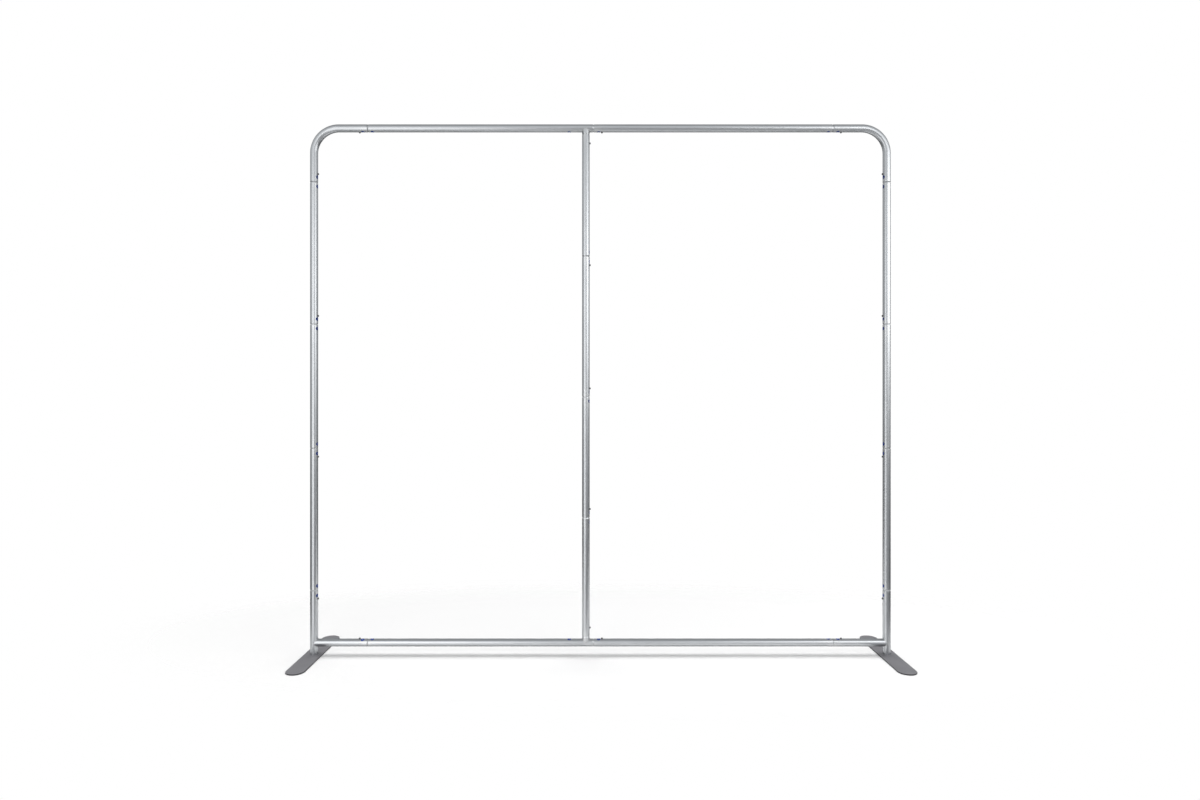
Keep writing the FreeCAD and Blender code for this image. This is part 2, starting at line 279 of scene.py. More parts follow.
def foot_screw():
    """Outline turned round the axis from the socket's floor, over the cone head and up to the tip.

    The socket's rings are hexagons: a flat's distance over the cosine of the bearing from its middle.
    The thread is a wave down the shank whose phase advances once with each turn.
    """
    turn = np.linspace(0, 2 * np.pi, turned_columns, endpoint=False)
    past_flat = (turn + np.pi / 6) % (np.pi / 3) - np.pi / 6
    hexagon = socket_across_flats / 2 / np.cos(past_flat)
    round_ring = np.ones(turned_columns)
    cone_top = screw_head_low + screw_head_radius - screw_radius
    shank = np.arange(cone_top + screw_point, screw_top - screw_point, thread_pitch / 8)
    wave = np.cos(2 * np.pi * shank[:, None] / thread_pitch - turn[None, :])
    thread = screw_radius - thread_depth / 2 * (1 - wave)
    socket_floor = screw_head_low + socket_depth
    head = screw_head_radius * np.array([0.8, 0.985, 1.0])
    neck = screw_radius + np.array([screw_neck_flare, 0])
    radii = np.concatenate(
        [
            [hexagon * 0.5, hexagon, hexagon, hexagon + socket_edge],
            np.concatenate([head, neck])[:, None] * round_ring,
            thread,
            [(screw_radius - screw_point) * round_ring],
        ]
    )
    heights = np.concatenate(
        [
            [socket_floor + socket_floor_cone, socket_floor, screw_head_low + socket_edge, screw_head_low],
            [screw_head_low, screw_head_low, screw_head_low + screw_head_edge],
            [cone_top - 0.5 * screw_neck_flare, cone_top + 0.75 * screw_neck_flare],
            shank,
            [screw_top],
        ]
    )
    return close_ends(turned_points(radii, heights, turned_columns))


def gathered(shapes):
    """One mesh from several (points, faces) shapes."""
    starts = np.cumsum([0] + [len(points) for points, _ in shapes])
    points = np.concatenate([points for points, _ in shapes])
    faces = [[corner + start for corner in face] for (_, own), start in zip(shapes, starts) for face in own]
    return points, faces


post_feet = [np.array([-post_x, 0, 0]), np.array([post_x, 0, 0])]
screw_points, screw_faces = foot_screw()
screws = gathered([(screw_points + foot, screw_faces) for foot in post_feet])
add_piece("foot_screw_pair", *screws, zinc_plate, "frame", ["foot_screws"], "screw_steel")

# Post plugs: short turned aluminium bushes pressed into the bottom of the base posts.
# Their tapped hole takes the foot screw; only their lower faces can be glimpsed above the plates.
plug_low = 0.0052
plug_high = 0.0292
plug_radius = 0.014325
plug_hole_radius = 0.00405
plug_chamfer = 0.0006

turned_metal, node = start_finish("turned_aluminium")
place = node("ShaderNodeTexCoord").outputs["Object"]
round_bands = {"wave_type": "BANDS", "bands_direction": "Z"}
tool_marks = node("ShaderNodeTexWave", round_bands, Vector=place, Scale=900.0, Distortion=0.6)
gloss = ramp(node, tool_marks.outputs["Fac"], [(0.2, 0.28), (0.8, 0.4)])
grooves = relief(node, tool_marks.outputs["Fac"], strength=0.2, distance=0.00003)
node("Principled BSDF", Base_Color=(0.62, 0.62, 0.63, 1), Metallic=1.0, Roughness=gloss, Normal=grooves)


def post_plug():
    """Bush outline, its outer edges chamfered, turned round the upright axis and closed on itself."""
    outside = [plug_radius - plug_chamfer, plug_radius, plug_radius, plug_radius - plug_chamfer]
    levels = [plug_low, plug_low + plug_chamfer, plug_high - plug_chamfer, plug_high]
    inside = [plug_hole_radius, plug_hole_radius]
    rings = turned_points(outside + inside, levels + [plug_high, plug_low], turned_columns)
    return rings.reshape(-1, 3), grid_quads(*rings.shape[:2], True, True).tolist()


plug_points, plug_faces = post_plug()
plugs = gathered([(plug_points + foot, plug_faces) for foot in post_feet])
add_piece("post_plug_pair", *plugs, turned_metal, "frame", ["post_plugs"], "plug_metal")

# Tubes: round drawn aluminium tube, satin anodised to a silver grey, with fine lines along its length.
# One end is swaged down to a spigot, which plugs into the next tube.
# A hole through both walls beside each joint takes its snap button.
tube_radius = 0.015875
bore_radius = 0.014375
spigot_radius = 0.014175
spigot_bore = 0.012675
spigot_length = 0.07
spigot_tip_steps = np.array([0, 0.0002, 0.0007])
spigot_tip_drops = np.array([0.0006, 0.0002, 0])
shoulder_length = 0.006
shoulder_rings = 9
shoulder_run_out = 0.0015
lip = 0.0008
lip_rings = 6
lip_run_out = 0.004
bore_flare = 0.00032
button_from_joint = 0.034
button_hole_radius = 0.00405
hole_lip = 0.00035
patch_half_length = 0.008
patch_cells = 12
tube_columns = 72
ring_margin = 0.06
ring_spacing = 0.055
rub_reach = 0.045
weld_gap = 0.00015
cope_end = 0.0172

anodised, node = start_finish("satin_anodised_tube")
along = node("ShaderNodeAttribute", {"attribute_name": "along_tube"}).outputs["Vector"]
stretched = node("ShaderNodeMapping", Vector=along, Scale=(1.0, 1.0, 0.012)).outputs["Vector"]
lines = noise(node, scale=1500.0, detail=4.0, roughness=0.6, place=stretched)
half_stretched = node("ShaderNodeMapping", Vector=along, Scale=(1.0, 1.0, 0.2)).outputs["Vector"]
drift = noise(node, scale=55.0, detail=3.0, place=half_stretched)
line_tone = ramp(node, lines, [(0.3, (0.53, 0.545, 0.56)), (0.7, (0.585, 0.6, 0.615))])
drift_tone = ramp(node, drift, [(0.3, 0.95), (0.7, 1.0)])
tube_tone = blend(node, line_tone, drift_tone, 1.0, "MULTIPLY")
rub_share = product(node, mark(node, "rub"), ramp(node, drift, [(0.42, 0.0), (0.7, 0.7)]))
rubbed_tone = blend(node, tube_tone, (0.74, 0.74, 0.74, 1), rub_share)
line_gloss = ramp(node, lines, [(0.25, 0.3), (0.75, 0.39)])
line_relief = relief(node, lines, strength=0.12, distance=0.00002)
grain = noise(node, scale=5200.0, detail=2.0, place=along)
grain_relief = relief(node, grain, strength=0.1, distance=0.00001, Normal=line_relief)
node("Principled BSDF", Base_Color=rubbed_tone, Roughness=line_gloss, Normal=grain_relief)
node("Principled BSDF", Metallic=1.0, Specular_Tint=(0.45, 0.45, 0.46, 1))


def ease(low, high, steps):
    """Values from low to high along half a cosine wave, level at both ends."""
    return low + (high - low) * (1 - np.cos(np.linspace(0, np.pi, steps))) / 2


def end_rings(kind):
    """Outer and inner rings of a tube's end, tip first, and its hole's place.

    A ring is a distance in from the joint line and a radius.
    """
    patch = np.linspace(-patch_half_length, patch_half_length, patch_cells + 1)
    if kind == "spigot":
        hole = -button_from_joint
        shoulder = np.linspace(0, shoulder_length, shoulder_rings)
        tip = spigot_tip_steps - spigot_length
        outer = np.concatenate([tip, hole + patch, [-lip], shoulder, [shoulder_length + shoulder_run_out]])
        outer_radius = np.concatenate(
            [
                spigot_radius - spigot_tip_drops,
                np.full(patch_cells + 2, spigot_radius),
                ease(spigot_radius, tube_radius, shoulder_rings),
                [tube_radius],
            ]
        )
        inner = np.concatenate([[-spigot_length], hole + patch, [-lip], shoulder])
        widening = ease(spigot_bore, bore_radius, shoulder_rings)
        inner_radius = np.concatenate([np.full(patch_cells + 3, spigot_bore), widening])
        return (outer, outer_radius), (inner, inner_radius), hole
    if kind == "socket":
        hole = button_from_joint
        round_over = np.linspace(0, np.pi / 2, lip_rings)
        outer = np.concatenate([lip * (1 - np.cos(round_over)), [lip_run_out], hole + patch])
        rounded = tube_radius - lip * (1 - np.sin(round_over))
        outer_radius = np.concatenate([rounded, np.full(patch_cells + 2, tube_radius)])
        inner = np.concatenate([[0, lip], hole + patch])
        inner_radius = np.concatenate([[bore_radius + bore_flare], np.full(patch_cells + 2, bore_radius)])
        return (outer, outer_radius), (inner, inner_radius), hole
    return (np.array([0.0]), np.array([tube_radius])), (np.array([0.0]), np.array([bore_radius])), None


def hole_rings(way, side, wall, outside):
    """Rings that lead from a square patch's border to the round hole at its middle.

    The border is given by its distance along the tube from the hole, its bearing and its radius.
    Each ring goes a share of the way to the circle. The last rings outside sink to break the hole's edge.
    """
    shares = np.array([0.4, 0.75, 1.0, 1.0, 1.0] if outside else [0.5, 1.0])[:, None]
    grow = hole_lip * np.array([1, 1, 1, 0.3, 0] if outside else [0, 0])[:, None]
    sink = hole_lip * np.array([0, 0, 0, 0.3, 1] if outside else [0, 0])[:, None]
    angle = np.arctan2(way, side * wall)
    hole_radius = button_hole_radius + grow
    hole_turn = np.arcsin(hole_radius * np.cos(angle) / wall)
    hole_way = hole_radius * np.sin(angle)
    return way + shares * (hole_way - way), side + shares * (hole_turn - side), wall - sink


def tube_shell(length, start_kind, end_kind, path):
    """Closed wall of a tube: rings carried out along the outside and back along the bore, and pierced.

    A ring's point lies at its radius from the path, at a bearing from the side that faces into the frame.
    A coped start runs up to the crossing tube: its distance is the root of that tube's radius squared less
    the offset squared.
    """
    bearing = np.linspace(-np.pi, np.pi, tube_columns, endpoint=False)
    first_out, first_in, first_hole = end_rings(start_kind)
    last_out, last_in, last_hole = end_rings(end_kind)
    start_rows = np.array([cope_end]) if start_kind == "cope" else np.array([])
    middle = np.arange(ring_margin, length - ring_margin, ring_spacing)
    between = np.unique(np.concatenate([start_rows, middle, path["bend"]]))
    outward = np.concatenate([first_out[0], between, length - last_out[0][::-1]])
    outward_radius = np.concatenate([first_out[1], np.full(len(between), tube_radius), last_out[1][::-1]])
    homeward = np.concatenate([first_in[0], between, length - last_in[0][::-1]])
    homeward_radius = np.concatenate([first_in[1], np.full(len(between), bore_radius), last_in[1][::-1]])
    distance = np.concatenate([outward, homeward[::-1]])[:, None] + np.zeros(tube_columns)
    radius = np.concatenate([outward_radius, homeward_radius[::-1]])[:, None] + np.zeros(tube_columns)
    if start_kind == "cope":
        for row in (0, len(distance) - 1):
            offset = radius[row] * np.sin(bearing)
            distance[row] = np.sqrt((tube_radius + weld_gap) ** 2 - offset**2)
    turn = bearing + np.zeros_like(distance)
    faces = grid_quads(*distance.shape, True, True).reshape(*distance.shape, 4)
    kept = np.ones(distance.shape, bool)
    left_column = tube_columns // 2 - patch_cells // 2
    columns = left_column + np.arange(patch_cells + 1)
    distances = [distance.ravel()]
    radii = [radius.ravel()]
    turns = [turn.ravel()]
    patch_faces = []
    count = distance.size
    last_place = None if last_hole is None else length - last_hole
    holes = [place for place in (first_hole, last_place) if place is not None]
    for place in holes:
        rims = []
        for run, step in ((outward, 1), (homeward, -1)):
            first_row = int(np.argmin(np.abs(run - (place - patch_half_length))))
            if step < 0:
                first_row = len(outward) + len(homeward) - 1 - first_row
            rows = first_row + step * np.arange(patch_cells + 1)
            kept[min(rows[0], rows[-1]) : max(rows[0], rows[-1]), columns[0] : columns[-1]] = False
            cells = np.arange(patch_cells)
            ring_rows = np.concatenate([cells * 0, cells, cells * 0 + patch_cells, patch_cells - cells])
            ring_columns = np.concatenate([cells, cells * 0 + patch_cells, patch_cells - cells, cells * 0])
            border = rows[ring_rows] * tube_columns + columns[ring_columns]
            way = distance.ravel()[border] - place
            new_way, new_turn, new_radius = hole_rings(
                way, turn.ravel()[border], radius.ravel()[border], outside=step > 0
            )
            distances.append((place + new_way).ravel())
            turns.append(new_turn.ravel())
            radii.append(new_radius.ravel())
            new_corners = count + np.arange(new_way.size).reshape(new_way.shape)
            count += new_way.size
            rings = np.concatenate([border[None, :], new_corners])
            next_ring = np.roll(rings, -1, axis=1)
            ring_cells = np.stack([rings[:-1], next_ring[:-1], next_ring[1:], rings[1:]], -1).reshape(-1, 4)
            patch_faces.append(ring_cells if step > 0 else ring_cells[:, ::-1])
            rims.append(rings[-1])
        outer_rim, inner_rim = rims
        walls = [outer_rim, np.roll(outer_rim, -1), np.roll(inner_rim, -1), inner_rim]
        patch_faces.append(np.stack(walls, -1))
    distance = np.concatenate(distances)
    radius = np.concatenate(radii)
    turn = np.concatenate(turns)
    centre, inward, sideways = path["frame"](distance)
    spread = radius[:, None] * (np.cos(turn)[:, None] * inward + np.sin(turn)[:, None] * sideways)
    faces = np.concatenate([faces[kept], *patch_faces])
    straightened = np.stack([radius * np.cos(turn), radius * np.sin(turn), distance + path["offset"]], -1)
    ends = [place for place, kind in ((0, start_kind), (length, end_kind)) if kind in ("spigot", "socket")]
    nearness = [np.clip(1 - np.abs(distance - place) / rub_reach, 0, 1) for place in ends]
    return centre + spread, faces, straightened, np.max(nearness, axis=0)


def straight_path(start, end, facing, offset):
    """Straight path, with the side that faces into the frame and the side a quarter turn from it."""
    start = np.array(start, float)
    direction = np.array(end, float) - start
    direction /= np.linalg.norm(direction)
    facing = np.array(facing, float)
    sideways = np.cross(direction, facing)

    def frame_at(distance):
        """Points of the path at some distances, and the two directions across it."""
        return start + distance[:, None] * direction, facing, sideways

    return {"frame": frame_at, "offset": offset, "bend": []}


def add_shell(cad_node, points, faces, straightened, rub):
    """Tube from its finished wall, in place of one CAD node."""
    marks = {"along_tube": straightened, "rub": rub}
    add_piece(cad_node + "_tube", points, faces, anodised, "frame", [cad_node], "anodised_tube", **marks)


grain_step = 1.37
tube_numbers = itertools.count(1)


def add_tube(cad_node, start, end, facing, start_kind, end_kind):
    """Straight tube between two joint lines, its grain a step further on than the last tube's."""
    length = float(np.linalg.norm(np.array(end, float) - np.array(start, float)))
    path = straight_path(start, end, facing, grain_step * next(tube_numbers))
    add_shell(cad_node, *tube_shell(length, start_kind, end_kind, path))


# Base posts and base stubs: the lowest length of each side post, and the short arm welded to it.
# The post stands on the foot with its socket up, and the arm is coped to the post.
# The arm's socket looks to the middle and takes the bottom rail.
base_post_low = 0.0052
base_post_top = 0.27
bottom_rail_z = 0.051
rail_joint_x = 0.977325
inward_of = {"left": np.array([1.0, 0, 0]), "right": np.array([-1.0, 0, 0])}
up = np.array([0, 0, 1.0])

for side, inward in inward_of.items():
    post = -post_x * inward
    post_low, arm_root, post_top = [post + up * z for z in (base_post_low, bottom_rail_z, base_post_top)]
    add_tube(side + "_base_post", post_low, post_top, inward, "plain", "socket")
    arm_end = -rail_joint_x * inward + up * bottom_rail_z
    add_tube(side + "_base_stub", arm_root, arm_end, up, "cope", "socket")

# Side posts: three lengths above each base post, plugged into one another.
# The lowest has its spigot down, the middle one has two spigots, and the top one has its spigot up.
lower_joint_z = 0.866
upper_joint_z = 1.390125
corner_joint_z = 1.986125

for side, inward in inward_of.items():
    post = -post_x * inward
    joints_z = (base_post_top, lower_joint_z, upper_joint_z, corner_joint_z)
    levels = [post + up * height for height in joints_z]
    add_tube(side + "_post_lower", levels[0], levels[1], inward, "spigot", "socket")
    add_tube(side + "_post_middle", levels[1], levels[2], inward, "spigot", "spigot")
    add_tube(side + "_post_upper", levels[2], levels[3], inward, "socket", "spigot")

# Corner tubes: one length of the same tube bent through a right angle, with a socket at each end.
# They join the posts to the top rail and round off the wall's upper corners.
bend_radius = 0.105
bend_rings = 37
corner_leg = 0.226
corner_grain = {"left": 0.91, "right": 0.53}
top_rail_z = 2.212125


def corner_path(corner, inward, offset):
    """Path up a straight leg, round a quarter circle and along a second leg.

    Its facing side looks to the bend's centre.
    """
    leg = corner_leg - bend_radius
    arc = bend_radius * np.pi / 2
    centre = corner + bend_radius * (inward - up)
    sideways = np.cross(up, inward)

    def frame_at(distance):
        """Points of the path at some distances, and the two directions across it."""
        before = np.minimum(distance - leg, 0)[:, None]
        after = np.maximum(distance - leg - arc, 0)[:, None]
        turn = np.clip((distance - leg) / bend_radius, 0, np.pi / 2)[:, None]
        facing = np.cos(turn) * inward - np.sin(turn) * up
        onward = np.cos(turn) * up + np.sin(turn) * inward
        return centre - bend_radius * facing + (before + after) * onward, facing, sideways

    return {"frame": frame_at, "offset": offset, "bend": leg + np.linspace(0, arc, bend_rings)}


for side, inward in inward_of.items():
    length = 2 * (corner_leg - bend_radius) + bend_radius * np.pi / 2
    path = corner_path(-post_x * inward + up * top_rail_z, inward, corner_grain[side])
    add_shell(side + "_corner", *tube_shell(length, "socket", "socket", path))

# Rails: the top and the bottom rail are each two lengths, the left one with a spigot at both ends.
# It carries the tee stub, a short spigot coped to the rail and welded on, a little left of the middle.
# The centre post plugs on to that stub.
tee_x = -0.061
tee_joint_x = -0.0275
tee_stub_length = 0.029
across = np.array([1.0, 0, 0])

for level, height, facing in (("bottom", bottom_rail_z, up), ("top", top_rail_z, -up)):
    rail = up * height
    left_end, middle, right_end = [rail + across * x for x in (-rail_joint_x, tee_joint_x, rail_joint_x)]
    tee = rail + across * tee_x
    add_tube(level + "_rail_left", left_end, middle, facing, "spigot", "spigot")
    add_tube(level + "_rail_right", middle, right_end, facing, "socket", "spigot")
    add_tube(level + "_tee_stub", tee, tee + facing * tee_stub_length, across, "cope", "spigot")

# Centre post: four lengths between the two tee stubs, which hold it upright.
# The second length from the top has sockets at both ends, so the post comes apart from its middle.
centre_top_z = top_rail_z - tee_stub_length
centre_bottom_z = bottom_rail_z + tee_stub_length
centre_joints_z = [centre_top_z, 1.671125, 1.085125, 0.578125, centre_bottom_z]
centre_ends = [("spigot", "socket"), ("socket", "socket"), ("socket", "spigot"), ("socket", "spigot")]

for number, ends in enumerate(centre_ends):
    high, low = [across * tee_x + up * height for height in centre_joints_z[number : number + 2]]
    add_tube("centre_post_" + str(number + 1), low, high, across, *ends)

# Weld beads: one run of filler round each coped joint, laid by hand dab by dab, and brushed.
# Two close the tees on the rails and two the arms on the base posts.
bead_radius = 0.0013
bead_offset = 0.0002
bead_dabs = 46
rings_per_dab = 8
bead_sides = 20
bead_ripple = 0.00022
saddle_round = 0.12

weld_metal, node = start_finish("brushed_weld")
soot = noise(node, scale=420.0, detail=4.0, roughness=0.6)
mottle(node, soot, [(0.46, 0.46, 0.465), (0.66, 0.66, 0.66)], [0.5, 0.34], metallic=1.0)


def weld_bead():
    """Round bead carried along the saddle where two equal tubes meet, the run along X, the stub along Z.

    The saddle's height is the tube radius times the size of the bearing's cosine, rounded where it would
    come to a point. The bead's radius swells and steps back once for every dab.
    """
    turn = np.linspace(0, 2 * np.pi, bead_dabs * rings_per_dab, endpoint=False)
    reach = tube_radius + bead_offset
    nudge = 1e-4

    def saddle(angle):
        """Points of the saddle at some bearings."""
        height = np.sqrt(np.cos(angle) ** 2 + saddle_round**2 * np.sin(angle) ** 2)
        return reach * np.stack([np.cos(angle), np.sin(angle), height], -1)

    line = saddle(turn)
    onward = saddle(turn + nudge) - saddle(turn - nudge)
    onward /= np.linalg.norm(onward, axis=1, keepdims=True)
    stub_side = np.stack([np.cos(turn), np.sin(turn), 0 * turn], -1)
    run_side = np.stack([0 * turn, line[:, 1], line[:, 2]], -1)
    run_side /= np.linalg.norm(run_side, axis=1, keepdims=True)
    outward = stub_side + run_side
    outward -= onward * (outward * onward).sum(1, keepdims=True)
    outward /= np.linalg.norm(outward, axis=1, keepdims=True)
    sideways = np.cross(onward, outward)
    dab = (turn * bead_dabs / (2 * np.pi)) % 1
    swell = bead_radius - bead_ripple * dab**1.5
    section = np.linspace(0, 2 * np.pi, bead_sides, endpoint=False)[None, :, None]
    ring = np.cos(section) * outward[:, None] + np.sin(section) * sideways[:, None]
    points = line[:, None] + swell[:, None, None] * ring
    return points.reshape(-1, 3), grid_quads(len(turn), bead_sides, True, True)[:, ::-1].tolist()


def stand(points, origin, x_axis, z_axis):
    """Points drawn about the origin, carried to a place with their X and Z axes along two directions."""
    y_axis = np.cross(z_axis, x_axis)
    return np.asarray(origin) + np.asarray(points) @ np.array([x_axis, y_axis, z_axis])


bead_points, bead_faces = weld_bead()
beads = []
for side, inward in inward_of.items():
    beads.append((stand(bead_points, -post_x * inward + up * bottom_rail_z, up, inward), bead_faces))
for height, facing in ((bottom_rail_z, up), (top_rail_z, -up)):
    beads.append((stand(bead_points, across * tee_x + up * height, across, facing), bead_faces))
add_piece("weld_bead_set", *gathered(beads), weld_metal, "frame", ["weld_beads"], "weld_metal")

# Spring clips: strips of spring steel bent to a V and slid into each spigot before it is plugged in.
# One leg lies along the bore and the other pushes the snap button out through its holes.
leaf_thickness = 0.0008
leaf_width = 0.008
leaf_length = 0.038
leaf_bend_radius = 0.004
leaf_bend_rings = 25
leaf_tip = 0.005
leaf_tip_run = 0.001
leaf_tip_drop = 0.00005
leaf_top = 0.010297
leaf_bottom = -0.011977


class PlugJoint:
    """A plug-in joint: its button, its point, the way its spigot points, and the side its button faces.

    Its two labels, the socket's first, are turned by some degrees from that side towards the front.
    """

    def __init__(self, button, point, into, facing, label_turns):
        self.button = button
        self.point = np.array(point, float)
        self.into = np.array(into, float)
        self.facing = np.array(facing, float)
        self.label_turns = label_turns
        self.button_point = self.point + self.into * button_from_joint


plug_joints = []
post_label_turns = {
    "left": [(15, 15), (17, 12), (18, 20), (13, 13)],
    "right": [(5, 5), (6, 12), (3, 6), (14, 8)],
}
for side, inward in inward_of.items():
    post_levels = [(base_post_top, -up), (lower_joint_z, -up), (upper_joint_z, up), (corner_joint_z, up)]
    for number, (height, way) in enumerate(post_levels):
        point = -post_x * inward + up * height
        turns = post_label_turns[side][number]
        plug_joints.append(PlugJoint(f"{side}_button_{number + 1}", point, way, inward, turns))

centre_ways = (up, up, up, -up, -up)
centre_label_turns = [(0, 0), (8, 10), (4, 22), (13, 13), (0, 0)]
for number, height in enumerate(centre_joints_z[::-1]):
    point = across * tee_x + up * height
    turns = centre_label_turns[number]
    plug_joints.append(PlugJoint(f"centre_button_{number + 1}", point, centre_ways[number], across, turns))

rail_label_turns = {"bottom": [(26, 14), (12, 12), (7, 0)], "top": [(6, 6), (0, 0), (6, 1)]}
rail_joints = ((-rail_joint_x, -across), (tee_joint_x, across), (rail_joint_x, across))
for level, height, facing in (("bottom", bottom_rail_z, up), ("top", top_rail_z, -up)):
    for number, (x, way) in enumerate(rail_joints):
        point = across * x + up * height
        turns = rail_label_turns[level][number]
        plug_joints.append(PlugJoint(f"{level}_button_{number + 1}", point, way, facing, turns))

spring_steel, node = start_finish("blued_spring_steel")
temper = noise(node, scale=180.0, detail=3.0)
mottle(node, temper, [(0.24, 0.25, 0.28), (0.4, 0.4, 0.41)], [0.3, 0.42], metallic=1.0)


def leaf_spring():
    """Flat strip section carried along a V: level under the button, down a leg, round the bend and back.

    Each leg leaves the bend where it touches the bend's circle.
    """
    bend_x = leaf_bend_radius - leaf_length
    middle = leaf_bend_radius - leaf_thickness / 2
    high = leaf_top - leaf_thickness / 2
    low = leaf_bottom + leaf_thickness / 2

    def tangent(x, z, way):
        """Bearing at which a leg from a point meets the bend's middle line."""
        reach = np.hypot(x - bend_x, z)
        return np.arctan2(z, x - bend_x) + way * np.arccos(middle / reach)

    first = tangent(-leaf_tip, high, 1)
    last = tangent(leaf_tip, low, -1) + 2 * np.pi
    turn = np.linspace(first, last, leaf_bend_rings)
    tip = [leaf_tip, 0, leaf_tip_run - leaf_tip, -leaf_tip]
    x = np.concatenate([tip, bend_x + middle * np.cos(turn), [leaf_tip]])
    z = np.concatenate([[high, high, high, high - leaf_tip_drop], middle * np.sin(turn), [low]])
    onward = np.stack([np.gradient(x), np.gradient(z)], -1)
    onward /= np.linalg.norm(onward, axis=1, keepdims=True)
    normal = np.stack([-onward[:, 1], onward[:, 0]], -1)
    soft = leaf_thickness * 0.2
    across_strip = leaf_width / 2 * np.array([1, -1, -1, -1, -1, 1, 1, 1])
    across_strip += soft * np.array([-1, 1, 0, 0, 1, -1, 0, 0])
    through_strip = leaf_thickness / 2 * np.array([1, 1, 1, -1, -1, -1, -1, 1])
    through_strip += soft * np.array([0, 0, -1, 1, 0, 0, 1, -1])
    points = np.stack(
        [
            x[:, None] + normal[:, 0, None] * through_strip,
            np.broadcast_to(across_strip, (len(x), 8)),
            z[:, None] + normal[:, 1, None] * through_strip,
        ],
        -1,
    )
    return close_ends(points)


spring_points, spring_faces = leaf_spring()
for joint in plug_joints:
    spring = add_piece(
        joint.button.replace("button", "spring"),
        stand(spring_points, joint.button_point, joint.into, joint.facing),
        spring_faces,
        spring_steel,
        "frame",
        ["spring_clips"],
        "spring_steel",
    )
    tuple(joint.facing)
    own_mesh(spring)

# Snap buttons: turned steel pins with a rounded head, dark plated, each riveted to its spring.
# They stand out through the holes on the frame's inner side and are pressed in to take the tubes apart.
button_radius = 0.00375
button_edge_radius = 0.0018
button_stands_out = 0.0045
button_top = tube_radius + button_stands_out
button_crown_height = 0.0001
button_polish_depth = 0.0012
collar_edge = 0.0002
collar_radius = 0.005
collar_low = 0.010347
collar_high = 0.011347
pin_columns = 40

dark_plate, node = start_finish("dark_plated_steel")
bloom = noise(node, scale=700.0, detail=4.0, roughness=0.6)
tone = mottle(node, bloom, [(0.085, 0.085, 0.09), (0.16, 0.16, 0.165)], [0.3, 0.45], metallic=1.0)
polished = blend(node, tone, (0.3, 0.3, 0.3, 1), product(node, mark(node, "crown"), 0.6))
node("Principled BSDF", Base_Color=polished)


def snap_button():
    """Pin outline turned round its axis: collar, shank, a quarter-round edge and a slightly crowned head.

    The crown falls with the square of the distance from the axis.
    """
    edge_rings = 9
    crown_rings = 5
    last_ring_share = 0.12
    edge = np.linspace(0, np.pi / 2, edge_rings)
    crown = np.linspace(1, last_ring_share, crown_rings + 1)[1:]
    flat = button_radius - button_edge_radius
    collar_face = collar_radius - collar_edge
    radii = np.concatenate(
        [
            [collar_radius * 0.5, collar_face, collar_radius, collar_radius, collar_face],
            [button_radius + collar_edge, button_radius],
            flat + button_edge_radius * np.cos(edge),
            flat * crown,
        ]
    )
    heights = np.concatenate(
        [
            [collar_low, collar_low, collar_low + collar_edge, collar_high - collar_edge, collar_high],
            [collar_high, collar_high + collar_edge],
            button_top - button_crown_height - button_edge_radius * (1 - np.sin(edge)),
            button_top - button_crown_height * crown**2,
        ]
    )
    rings = turned_points(radii, heights, pin_columns)
    crown_mark = np.clip(1 - (button_top - rings[..., 2]) / button_polish_depth, 0, 1).ravel()
    points, faces = close_ends(rings)
    return points, faces, np.concatenate([crown_mark, [0, 1]])


button_points, button_faces, button_crown = snap_button()
for joint in plug_joints:
    add_piece(
        joint.button + "_pin",
        stand(button_points, joint.button_point, joint.into, joint.facing),
        button_faces,
        dark_plate,
        joint.button + "_body",
        [joint.button],
        "button_steel",
        crown=button_crown,
    )

# Number labels: round stickers of printed blue vinyl, a matching pair on the inner side of each joint.
# They say which tube ends go together. The tee stubs need none, and beside a tee the label clears the weld.
label_radius = 0.00725
label_thickness = 0.0002
label_from_joint = 0.02
label_from_tee = 0.07
label_sides = 64
ink_height = 0.0062
ink_lift = 0.00003
ink_spread = 0.00004
ink_strip = 0.00025
to_the_back = np.array([0, 1.0, 0])

blue_vinyl, node = start_finish("blue_label_vinyl")
fade = noise(node, scale=130.0, detail=3.0)
mottle(node, fade, [(0.002, 0.028, 0.2), (0.004, 0.042, 0.28)], [0.5, 0.62], metallic=0.0)
fibres = relief(node, noise(node, scale=2400.0, detail=2.0), strength=0.15, distance=0.00002)
node("Principled BSDF", Specular_IOR_Level=0.2, Normal=fibres)

white_ink, node = start_finish("white_label_ink")
screen = noise(node, scale=900.0, detail=3.0)
mottle(node, screen, [(0.74, 0.75, 0.78), (0.84, 0.85, 0.86)], [0.38, 0.5], metallic=0.0)


def wrapped(flat, lift):
    """Flat points, given along and round a tube along X, bent on to its upper side at a height."""
    turn = flat[..., 1] / tube_radius
    radius = tube_radius + lift
    return np.stack([flat[..., 0], radius * np.sin(turn), radius * np.cos(turn)], -1)


def label_disc():
    """Round sticker: rings that grow from the middle of its face to its edge and go down to the tube."""
    radii = label_radius * np.array([0.15, 0.35, 0.55, 0.75, 0.9, 0.985, 1.0, 1.0])
    lifts = label_thickness * np.array([1, 1, 1, 1, 1, 1, 0.8, 0.02])
    turn = np.linspace(0, 2 * np.pi, label_sides, endpoint=False)
    flat = radii[:, None, None] * np.stack([np.cos(turn), np.sin(turn)], -1)
    under = label_radius * 0.5 * np.stack([np.cos(turn), np.sin(turn)], -1)
    rings = np.concatenate([wrapped(flat, lifts[:, None]), wrapped(under, label_thickness * 0.02)[None]])
    return close_ends(rings[::-1])


